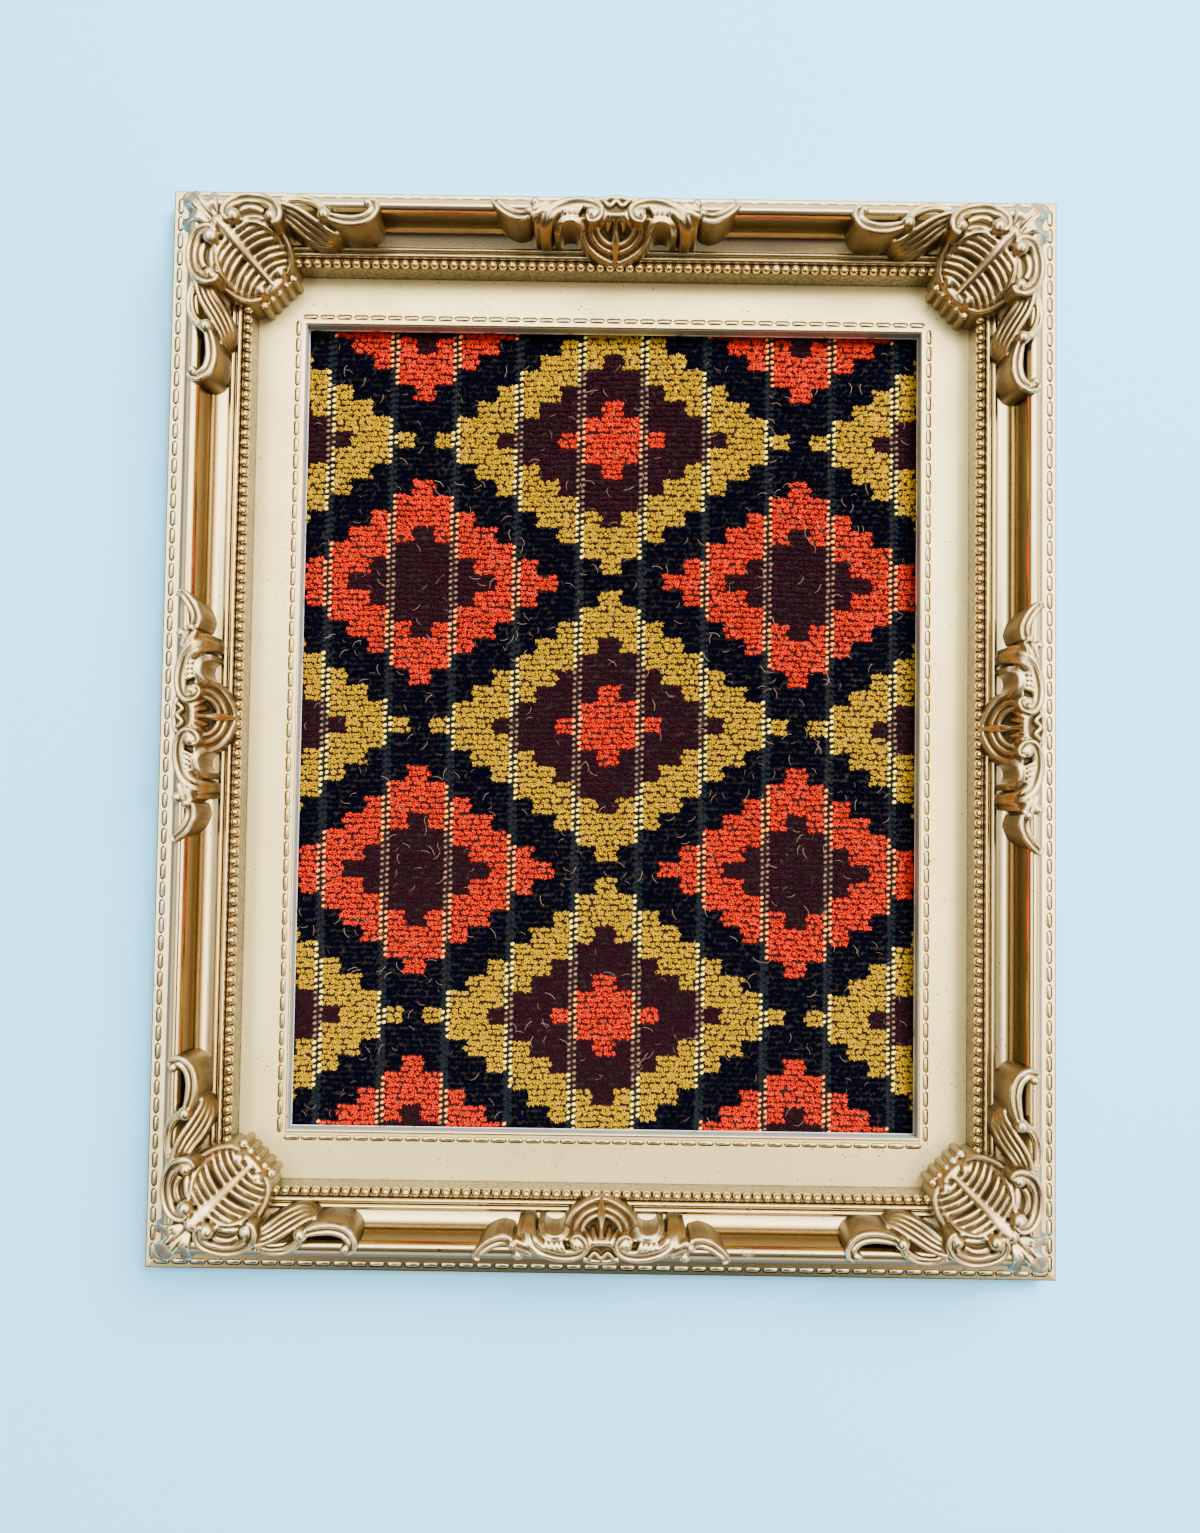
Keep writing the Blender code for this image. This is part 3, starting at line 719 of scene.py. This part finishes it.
def bead_mesh(radius):
    """The upper part of a small ball. Its points keep their rise, from 0 at the bed to 1 at the top."""
    segments = 10
    shape = bmesh.new()
    rise = shape.verts.layers.float.new("rise")
    loops = []
    for angle in (-38, -8, 20, 44, 68):
        ring_radius, up = radius * math.cos(math.radians(angle)), radius * math.sin(math.radians(angle))
        loops.append([shape.verts.new((ring_radius * math.cos(math.tau * step / segments),
                                       ring_radius * math.sin(math.tau * step / segments), up))
                      for step in range(segments)])
    top = shape.verts.new((0, 0, radius))
    skin(shape, loops)
    for step in range(segments):
        shape.faces.new((loops[-1][step], loops[-1][(step + 1) % segments], top))
    shape.faces.new(list(reversed(loops[0])))
    for vert in shape.verts:
        vert[rise] = (vert.co.z / radius + 0.62) / 1.62
    return outward_mesh("bead", shape)


def pill_mesh(length, width, height):
    """A low rounded bar, round at both ends, on a thin dark skirt."""
    shape = bmesh.new()
    rise = shape.verts.layers.float.new("rise")
    loops = []
    for spread_out, up, level in ((1.62, 0.03, 0.0), (1.16, 0.06, 0.0), (1.02, 0.14, 0.3), (0.88, 0.66, 0.7),
                                  (0.5, 0.95, 1.0)):
        radius = width / 2 * spread_out
        reach = length / 2 - width / 2
        loop = []
        for end in (1, -1):
            for step in range(5):
                turn = math.radians(-90 + 45 * step) + (0 if end > 0 else math.pi)
                loop.append(shape.verts.new((end * reach + radius * math.cos(turn), radius * math.sin(turn),
                                             height * up)))
                loop[-1][rise] = level
        loops.append(loop)
    skin(shape, loops)
    shape.faces.new(loops[-1])
    return outward_mesh("pill", shape)


def outward_mesh(name, shape):
    """A mesh whose faces are all turned outward first."""
    bmesh.ops.recalc_face_normals(shape, faces=shape.faces[:])
    return to_mesh(name, shape)


def round_the_rails(across, up, pitch, gap_at_corner):
    """Evenly spaced places round all four rails, with the turn that lays a shape along each rail."""
    places, turns = [], []
    x, y = half_width - across * MM, half_height - across * MM
    for side, (reach, stand) in enumerate(((x, y), (y, x), (x, y), (y, x))):
        length = 2 * (reach - gap_at_corner)
        count = round(length / pitch)
        turn = Matrix.Rotation(side * math.pi / 2, 3, 'Z')
        for step in range(count):
            along = -length / 2 + (step + 0.5) * length / count
            places.append(turn @ Vector((along, -stand, rim + up * MM)))
            turns.append((0, 0, side * math.pi / 2))
    return places, turns


skirt_varnish_and_shade = (0.035, 0.018, 0.008, 1)


def trim_finish(name, pale):
    """Gold for beads and pills. A higher pale rubs more of them down to silver."""
    gold = Finish(name)
    rise = gold.attribute("rise")
    patches = gold.noise(80, 3.0, 0.6)
    colour = gold.mix(gold.ease(patches, 0.35, 0.7) * 0.25, champagne, dull_gold)
    # Varnish in the recess round each pill, and painted shade on the underside of each bead
    colour = gold.mix(gold.ease(0.35 - rise, 0.05, 0.3), colour, skirt_varnish_and_shade)
    rubbed = gold.ease(rise, 0.7, 1.0) * gold.ease(gold.noise(45, 4.0, 0.7), 0.62 - pale, 0.74 - pale)
    colour = gold.mix(rubbed * 0.8, colour, rubbed_silver)
    return gold.surface(Base_Color=colour, Metallic=1 - 0.35 * rubbed, Roughness=0.18 + 0.10 * patches,
                        Normal=gold.bump(gold.noise(700, 2.0), 0.00005, 0.5))


# Each row: its name, how far in and how high it runs, its pitch, its gap at a corner, its shape, its paint
# and how pale that is rubbed
trim_rows = (
    ("bead_rows", 27.1, 10.0, 2.93 * MM, 1.4 * MM, bead_mesh(1.34 * MM), "beads", 0.0),
    ("outer_pill_chain", 2.5, 0.17, 5.42 * MM, 0.0, pill_mesh(4.35 * MM, 1.4 * MM, 0.5 * MM),
     "outer_pills", 0.1),
    ("inner_pill_chain", 40.6, 2.5, 5.2 * MM, 0.9 * MM, pill_mesh(4.3 * MM, 1.25 * MM, 0.5 * MM),
     "inner_pills", 0.0))
for number, (name, across, up, pitch, gap, shape, paint, pale) in enumerate(trim_rows):
    places, turns = round_the_rails(across, up, pitch, gap)
    trim = spread(name, places, turns, shape, trim_finish("antique_gold_" + paint, pale),
                  seed=4 + number, size_spread=0.03)


# Moquette
# Cut-pile upholstery cloth, stretched flat behind the lip: a firm woven ground with upright wool tufts in
# four yarns. Pairs of uncut loops make pale ladders down the cloth, and a few loose fibres lie on the pile.
# The figure is a plain half-drop of stepped lozenges.

cloth_low, cloth_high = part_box("moquette_cloth")
ground_top = cloth_high.z - 1.75 * MM
tuft_pitch = 1.30 * MM
row_pitch = 1.65 * MM
loop_pitch = 1.87 * MM
rail_width = 42.9 * MM
pile_tuck = 1.6 * MM
pile_half_width = half_width - rail_width + pile_tuck
pile_half_height = half_height - rail_width + pile_tuck
yarns = {"mustard": (0.50, 0.285, 0.0), "orange": (0.62, 0.014, 0.0), "aubergine": (0.022, 0.005, 0.010),
         "navy": (0.001, 0.0014, 0.007)}
loop_colours = {"mustard": (0.85, 0.74, 0.16), "orange": (0.80, 0.27, 0.05),
                "aubergine": (0.15, 0.075, 0.055), "navy": (0.004, 0.010, 0.020)}
bands = ("orange", "aubergine", "mustard", "navy", "orange", "aubergine", "aubergine")
ladder_every = 15
ladder_columns = (7, 8)


def yarn_at(column, row):
    """The yarn of one tuft: bands three steps wide, from one lozenge's middle to the next one's middle.
    A step is 5 tufts by 3 rows, and the figure repeats every 18 steps."""
    across_step, up_step = (column + 2) // 5, (row + 1) // 3
    from_middle = abs((across_step + 9) % 18 - 9) + abs((up_step + 9) % 18 - 9)
    return bands[from_middle // 3]


def weave_bow(x):
    """How far the weft lines wander from straight."""
    return 0.8 * MM * math.sin(x * 17 + 0.8) + 0.3 * MM * math.sin(x * 61)


def ground_mesh():
    """The woven ground: a flat sheet with a wall round its edge, thin enough to lie under the lip."""
    shape = bmesh.new()
    bmesh.ops.create_grid(shape, x_segments=24, y_segments=30, size=0.5)
    for vert in shape.verts:
        vert.co.x *= cloth_high.x - cloth_low.x
        vert.co.y *= cloth_high.y - cloth_low.y
        vert.co.z = ground_top
    under = bmesh.ops.extrude_face_region(shape, geom=shape.faces[:])
    for item in under["geom"]:
        if isinstance(item, bmesh.types.BMVert):
            item.co.z = cloth_low.z
    bmesh.ops.recalc_face_normals(shape, faces=shape.faces[:])
    return to_mesh("moquette_ground", shape, smooth=False)


def ground_finish():
    weave = Finish("moquette_ground_weave")
    wefts = weave.node('ShaderNodeTexWave', {"bands_direction": 'Y', "wave_profile": 'SIN'},
                       {"Vector": weave.where(), "Scale": 190.0, "Distortion": 0.6, "Detail": 1.0})
    warps = weave.node('ShaderNodeTexWave', {"bands_direction": 'X', "wave_profile": 'SIN'},
                       {"Vector": weave.where(), "Scale": 240.0, "Distortion": 0.6, "Detail": 1.0})
    threads = weave.grey(wefts) * weave.grey(warps)
    colour = weave.mix(threads, (0.004, 0.003, 0.004, 1), (0.014, 0.009, 0.008, 1))
    return weave.surface(Base_Color=colour, Roughness=0.95, Normal=weave.bump(threads, 0.0003, 0.8))


def tuft_mesh():
    """A cut tuft: a bundle of leaning tips of wool, each with its own tone."""
    shape = bmesh.new()
    rise = shape.verts.layers.float.new("rise")
    tone = shape.verts.layers.float.new("tone")
    for tip, its_tone in enumerate((0.95, 0.25, 0.75, 1.0, 0.05, 0.6, 0.85)):
        turn = math.tau * tip / 6 + 0.4
        out = 0.42 * MM if tip < 6 else 0.0
        root = Vector((math.cos(turn) * out, math.sin(turn) * out * 1.25, 0))
        lean = Vector((math.cos(turn * 2.3) * 0.30, math.sin(turn * 1.7) * 0.42, 0)) * MM
        peak = shape.verts.new(root + lean + Vector((0, 0, (1.66 - 0.13 * (tip % 3)) * MM)))
        corners = [turn + spin for spin in (0.0, math.tau / 3, 2 * math.tau / 3)]
        base = [shape.verts.new(root + Vector((math.cos(corner), math.sin(corner), 1.0)) * 0.44 * MM)
                for corner in corners]
        peak[rise] = 1.0
        for vert in base + [peak]:
            vert[tone] = its_tone
        for index in range(3):
            shape.faces.new((base[index], base[(index + 1) % 3], peak))
    return to_mesh("tuft", shape)


def yarn_finish(name, colour):
    """Wool with painted shade that darkens it towards its root, and a tone of its own in each tip and each
    tuft.
    """
    wool = Finish("wool_" + name)
    rise = wool.attribute("rise")
    tone = wool.attribute("tone")
    shade = wool.attribute("shade")

    def toned(share):
        return tuple(min(part * share, 1) for part in colour) + (1,)

    mixed = wool.mix(tone * (0.6 + 0.4 * shade), toned(0.58), toned(1.12))
    cloudy = wool.ease(wool.noise(28, 3.0, 0.6), 0.35, 0.7)
    mixed = wool.mix(cloudy * 0.15, mixed, toned(0.7))
    # Painted shade deep in the pile, towards the root
    mixed = wool.mix(1 - wool.ease(rise, 0.0, 0.7), mixed, toned(0.30))
    fibre = wool.noise(2600, 2.0, 0.7)
    return wool.surface(Base_Color=mixed, Roughness=0.95, Specular_IOR_Level=0.02,
                        Normal=wool.bump(fibre, 0.0002, 0.6))


def chart_cloth():
    """The places of the tufts by yarn, and of the ladders' loops, which replace two columns in fifteen."""
    rng = np.random.default_rng(11)
    columns = int(pile_half_width / tuft_pitch)
    rows = int(pile_half_height / row_pitch)
    loops_up = int(pile_half_height / loop_pitch)
    tufts = {yarn: [] for yarn in yarns}
    loops = {yarn: [] for yarn in yarns}
    for row in range(-rows, rows + 1):
        for column in range(-columns, columns + 1):
            if column % ladder_every in ladder_columns:
                continue
            x, y = column * tuft_pitch, row * row_pitch
            jog = rng.normal(0, 0.17 * MM, 2)
            stagger = 0.5 * tuft_pitch * (row % 2 - 0.5)
            place = (x + stagger + jog[0], y + weave_bow(x) + jog[1], ground_top - 0.1 * MM)
            tufts[yarn_at(column, row)].append(place)
    for column in range(-columns, columns + 1):
        if column % ladder_every not in ladder_columns:
            continue
        side = -1 if column % ladder_every == ladder_columns[0] else 1
        x = (column - 0.5 * side + 0.65 * side) * tuft_pitch
        for number in range(-loops_up, loops_up + 1):
            y = (number + 0.12 * side) * loop_pitch
            row = round(y / row_pitch)
            jog = rng.normal(0, 0.08 * MM, 2)
            place = (x + jog[0], y + weave_bow(x) + jog[1], ground_top + 0.85 * MM)
            loops[yarn_at(column, row)].append(place)
    return tufts, loops


def planar_uv(mesh):
    """One top-down map for the whole cloth, so that every tuft keeps its own spot of colour."""
    layer = mesh.uv_layers.new(name="OFBake")
    corners = np.zeros(len(mesh.loops), np.int64)
    mesh.loops.foreach_get("vertex_index", corners)
    spots = np.zeros(len(mesh.vertices) * 3, np.float32)
    mesh.vertices.foreach_get("co", spots)
    spots = spots.reshape(-1, 3)[corners]
    flat = np.stack([spots[:, 0] / (2.1 * pile_half_width) + 0.5,
                     spots[:, 1] / (2.1 * pile_half_height) + 0.5], 1)
    layer.data.foreach_set("uv", flat.astype(np.float32).ravel())


def loop_mesh():
    """One uncut loop: a small plump stitch of yarn lying across the row."""
    shape = bmesh.new()
    rise = shape.verts.layers.float.new("rise")
    tone = shape.verts.layers.float.new("tone")
    bmesh.ops.create_uvsphere(shape, u_segments=6, v_segments=4, radius=1)
    for vert in shape.verts:
        vert[rise] = max(vert.co.z, 0)
        vert[tone] = 0.8
        vert.co = (vert.co.x * 0.76 * MM, vert.co.y * 0.60 * MM + vert.co.x * 0.12 * MM,
                   vert.co.z * 0.60 * MM)
    return outward_mesh("loop", shape)


def hair_mesh():
    """A stray wool fibre that lies over the pile, a thin bent sliver."""
    shape = bmesh.new()
    rise = shape.verts.layers.float.new("rise")
    tone = shape.verts.layers.float.new("tone")
    pairs = []
    for step in range(5):
        share = step / 4
        x, y = (share - 0.5) * 2.4 * MM, 0.5 * MM * math.sin(share * 2.6)
        z = 0.35 * MM * math.sin(share * math.pi)
        pairs.append([shape.verts.new((x, y + side * 0.035 * MM, z)) for side in (1, -1)])
    for first, second in zip(pairs, pairs[1:]):
        shape.faces.new((first[0], first[1], second[1], second[0]))
    for vert in shape.verts:
        vert[rise] = 1.0
        vert[tone] = 1.0
    return outward_mesh("hair", shape)


ground = show("moquette_ground", ground_mesh(), ground_finish())
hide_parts("moquette_cloth")
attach(ground, "root")
tuft_places, loop_places = chart_cloth()
shade_rng = np.random.default_rng(23)
for number, (yarn, colour) in enumerate(yarns.items()):
    places = tuft_places[yarn]
    pile = spread(f"pile_{yarn}", places, [(0, 0, 0)] * len(places), tuft_mesh(),
                  yarn_finish(yarn, colour), seed=31 + number, size_spread=0.16, tilt_spread=0.28, spin=6.2,
                  marks={"shade": shade_rng.random(len(places))})
    places = loop_places[yarn]
    loops = spread(f"ladder_loops_{yarn}", places, [(0, 0, 0)] * len(places), loop_mesh(),
                   yarn_finish(yarn + "_loops", loop_colours[yarn]), seed=51 + number, size_spread=0.15,
                   tilt_spread=0.25, spin=0.4, marks={"shade": shade_rng.random(len(places))})
    for made in (pile, loops):
        planar_uv(made.data)
hair_places = shade_rng.uniform((-0.97 * pile_half_width, -0.97 * pile_half_height),
                                (0.97 * pile_half_width, 0.97 * pile_half_height), (900, 2))
hair_places = [(x, y, cloth_high.z - 0.28 * MM) for x, y in hair_places]
hairs = spread("stray_fibres", hair_places, [(0, 0, 0)] * len(hair_places), hair_mesh(),
               yarn_finish("stray", (0.20, 0.13, 0.09)), seed=61, size_spread=0.5, tilt_spread=0.15,
               spin=6.2, marks={"shade": shade_rng.random(len(hair_places))})
planar_uv(hairs.data)


# Backing board
# A plain sheet of brown fibreboard, cut to fit the rebate. It closes the frame behind the cloth and keeps
# the cloth stretched against the lip. Only its back shows.


def board_finish():
    board = Finish("brown_fibreboard")
    fibres = board.noise(900, 4.0, 0.7)
    colour = board.mix(fibres, (0.26, 0.17, 0.10, 1), (0.42, 0.29, 0.17, 1))
    colour = board.mix(board.ease(board.noise(30, 3.0), 0.4, 0.7) * 0.3, colour, (0.22, 0.14, 0.08, 1))
    return board.surface(Base_Color=colour, Roughness=0.78 + 0.12 * fibres,
                         Normal=board.bump(fibres, 0.0001, 0.5))


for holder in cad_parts["backing_board"].material_slots:
    holder.material = board_finish()


# Room
# A plain pale surface that the frame lies on, a soft key light from beyond the top right corner, and a sky
# that is dark on the viewer's side and bright beyond the frame, so that the gold shows dark and pale bands.
# The camera looks down from where the photo was taken.


def floor_finish():
    paper = Finish("pale_surface")
    return paper.surface(Base_Color=(0.18, 0.60, 1.0, 1), Roughness=0.8,
                         Normal=paper.bump(paper.noise(300, 2.0), 0.0002, 0.1))


def floor_mesh():
    shape = bmesh.new()
    bmesh.ops.create_grid(shape, x_segments=2, y_segments=2, size=2.0)
    for vert in shape.verts:
        vert.co.z = -0.2 * MM
    return to_mesh("floor", shape, smooth=False)


show("floor", floor_mesh(), floor_finish())


def soft_light(name, place, aim, size, power, colour):
    """A square lamp that lights the scene but doesn't mirror in the gold."""
    lamp = bpy.data.lights.new(name, 'AREA')
    lamp.shape = 'SQUARE'
    lamp.size = size
    lamp.energy = power
    lamp.color = colour
    holder = bpy.data.objects.new(name, lamp)
    bpy.context.scene.collection.objects.link(holder)
    holder.location = place
    holder.rotation_mode = 'QUATERNION'
    holder.rotation_quaternion = (Vector(aim) - Vector(place)).to_track_quat('-Z', 'Y')
    holder.visible_glossy = False


soft_light("key", (0.85, 0.95, 1.45), aim=(0, 0, 0), size=0.9, power=170, colour=(1.0, 0.97, 0.92))

sky_strength = 7.1
sky = bpy.data.worlds.new("sky")
bpy.context.scene.world = sky
sky.use_nodes = True
sky_maker = NodeMaker(sky.node_tree)
where = sky_maker.node('ShaderNodeTexCoord', out="Generated")


def sky_band(direction, stops):
    """Sky colours along one direction, from 0, behind it, to 1, ahead of it."""
    lean = sky_maker.node('ShaderNodeVectorMath', {"operation": 'DOT_PRODUCT'}, {0: where, 1: direction},
                          out="Value")
    share = sky_maker.node('ShaderNodeMath', {"operation": 'MULTIPLY_ADD'}, {0: lean, 1: 0.5, 2: 0.5})
    return sky_maker.node('ShaderNodeValToRGB', {"stops": stops}, {0: share})


front_to_back = sky_band((0.0, 1.0, 0.0), ((0.0, (0.018, 0.018, 0.020)), (0.47, (0.022, 0.022, 0.024)),
                                           (0.55, 0.05), (0.60, (0.60, 0.59, 0.56)),
                                           (0.64, (1.0, 1.0, 0.98)), (1.0, (1.0, 0.84, 0.58))))
beside = sky_band((1.0, 0.0, 0.0), ((0.0, 1), (0.31, 1), (0.36, 0), (0.64, 0), (0.69, 1)))
open_sky = sky_band((0.0, 1.0, 0.0), ((0.0, (0.05, 0.047, 0.042)), (0.20, (0.20, 0.19, 0.17)),
                                      (0.36, (0.60, 0.58, 0.54)), (0.46, (1.0, 1.0, 0.98))))
left_to_right = sky_band((1.0, 0.0, 0.0), ((0.0, (0.12, 0.09, 0.06)), (0.14, (0.28, 0.22, 0.15)),
                                           (0.3, (0.92, 0.88, 0.80)), (0.5, 1.0),
                                           (0.78, (1.0, 0.86, 0.68)), (1.0, (1.0, 0.64, 0.34))))
low_to_high = sky_band((0.0, 0.0, 1.0), ((0.5, 0.02), (0.68, 0.14), (0.80, 0.45), (0.93, 1.0)))
sky_colour = sky_maker.node('ShaderNodeMix', {"data_type": 'RGBA'},
                            {0: beside, 6: front_to_back, 7: open_sky}, out=2)
for band in (left_to_right, low_to_high):
    sky_colour = sky_maker.node('ShaderNodeMix', {"data_type": 'RGBA', "blend_type": 'MULTIPLY'},
                                {0: 1.0, 6: sky_colour, 7: band}, out=2)
background = sky.node_tree.nodes["Background"]
sky_maker.feed(background.inputs[0], sky_colour)
background.inputs[1].default_value = sky_strength

lens = bpy.data.cameras.new("camera")
lens.lens = 27.0
lens.clip_start = 0.01
camera = bpy.data.objects.new("camera", lens)
bpy.context.scene.collection.objects.link(camera)
camera.location = (-2.15 * MM, -24.5 * MM, rim + 351.8 * MM)
camera.rotation_euler = (math.radians(2.006), 0, math.radians(0.838))
bpy.context.scene.camera = camera
